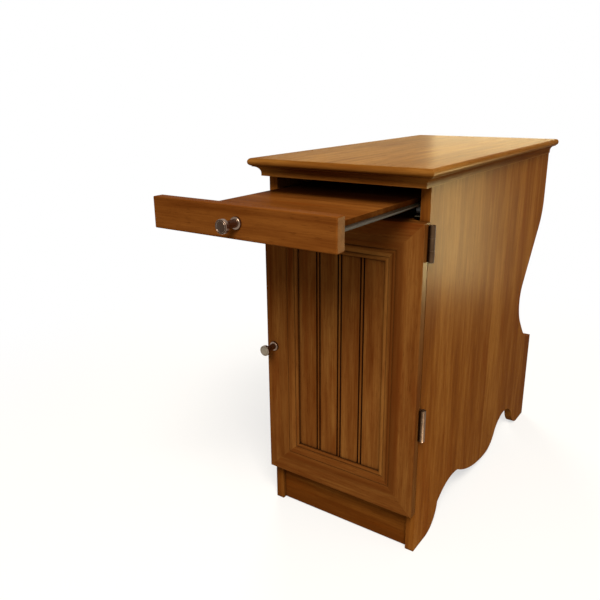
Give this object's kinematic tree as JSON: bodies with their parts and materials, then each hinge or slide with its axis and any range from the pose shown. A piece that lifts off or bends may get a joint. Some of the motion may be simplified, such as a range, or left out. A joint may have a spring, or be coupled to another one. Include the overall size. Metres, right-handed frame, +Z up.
{
  "type": "storage side table with door",
  "caption": "Narrow chairside table with a beadboard door, a pull-out tray on roller runners, scroll-cut sides and a magazine pocket behind.",
  "frame": {"origin": "on the floor, at the middle of the box around the table with its tray pulled out", "axes": "+X to the right seen from the front, +Y to the back, +Z up"},
  "size_m": [0.314, 0.8634, 0.628],
  "materials": {
    "oak_board": "satin oak-grain laminate",
    "oak_door": "satin oak-grain foil",
    "oak_tray": "satin oak-grain laminate",
    "beech": "raw fluted beech",
    "bronze": "dark antique bronze",
    "pewter": "antique pewter",
    "zinc": "zinc plated steel",
    "nylon": "natural nylon",
    "magnet": "sintered ferrite",
    "rubber": "soft clear rubber"
  },
  "bodies": {
    "carcass": {"side_panel_left": "oak_board", "side_panel_right": "oak_board", "top_board": "oak_board", "top_moulding_front": "oak_board", "top_moulding_left": "oak_board", "top_moulding_right": "oak_board", "toe_kick": "oak_board", "rack_panel": "oak_board", "rack_floor": "oak_board", "back_panel": "oak_board", "bottom_panel": "oak_board", "divider_panel": "oak_board", "adjustable_shelf": "oak_board", "wood_dowels": "beech", "hinge_side_leaf_upper": "bronze", "hinge_side_leaf_lower": "bronze", "hinge_pin_upper": "bronze", "hinge_pin_lower": "bronze", "hinge_side_screws": "bronze", "runner_channel_left": "zinc", "runner_channel_right": "zinc", "runner_channel_screws": "zinc", "catch_screws": "zinc", "shelf_pins": "zinc", "cam_locks": "zinc", "cam_bolts": "zinc", "catch_body": "nylon", "catch_magnet": "magnet"},
    "door": {"door_rail_bottom": "oak_door", "door_rail_top": "oak_door", "door_stile_left": "oak_door", "door_stile_right": "oak_door", "door_panel": "oak_door", "door_knob": "pewter", "door_knob_screw": "zinc", "hinge_door_leaf_upper": "bronze", "hinge_door_leaf_lower": "bronze", "hinge_door_screws": "bronze", "strike_plate": "zinc", "strike_plate_screw": "zinc", "door_bumpers": "rubber"},
    "tray": {"tray_front": "oak_tray", "tray_panel": "oak_tray", "tray_knob": "pewter", "tray_knob_screw": "zinc", "tray_brackets": "zinc", "tray_bracket_screws": "zinc", "tray_dowels": "beech", "runner_rail_left": "zinc", "runner_rail_right": "zinc", "runner_rail_screws": "zinc"},
    "front_roller_left": {"front_roller_left": "nylon"},
    "front_roller_right": {"front_roller_right": "nylon"},
    "rear_roller_left": {"rear_roller_left": "nylon"},
    "rear_roller_right": {"rear_roller_right": "nylon"}
  },
  "joints": [
    {"name": "door_hinge", "type": "hinge", "parent": "carcass", "child": "door", "pos_m": [0.1449, -0.15535, 0.313], "axis": [0, 0, 1], "range_deg": [0, 180]},
    {"name": "tray_slide", "type": "slide", "parent": "carcass", "child": "tray", "axis": [0, -1, 0], "range_m": [-0.23, 0]},
    {"name": "front_roller_left_spin", "type": "hinge", "parent": "carcass", "child": "front_roller_left", "pos_m": [-0.11875, -0.14235, 0.566], "axis": [1, 0, 0], "range_deg": [-2030, 2]},
    {"name": "rear_roller_left_spin", "type": "hinge", "parent": "tray", "child": "rear_roller_left", "pos_m": [-0.11875, -0.10085, 0.5645], "axis": [1, 0, 0], "range_deg": [-2030, 2]},
    {"name": "front_roller_right_spin", "type": "hinge", "parent": "carcass", "child": "front_roller_right", "pos_m": [0.11875, -0.14235, 0.566], "axis": [1, 0, 0], "range_deg": [-2030, 2]},
    {"name": "rear_roller_right_spin", "type": "hinge", "parent": "tray", "child": "rear_roller_right", "pos_m": [0.11875, -0.10085, 0.5645], "axis": [1, 0, 0], "range_deg": [-2030, 2]}
  ],
  "couplings": [
    {"joint": "front_roller_left_spin", "follows": "tray_slide", "rad_per_m": 153.85},
    {"joint": "rear_roller_left_spin", "follows": "tray_slide", "rad_per_m": 153.85},
    {"joint": "front_roller_right_spin", "follows": "tray_slide", "rad_per_m": 153.85},
    {"joint": "rear_roller_right_spin", "follows": "tray_slide", "rad_per_m": 153.85}
  ]
}
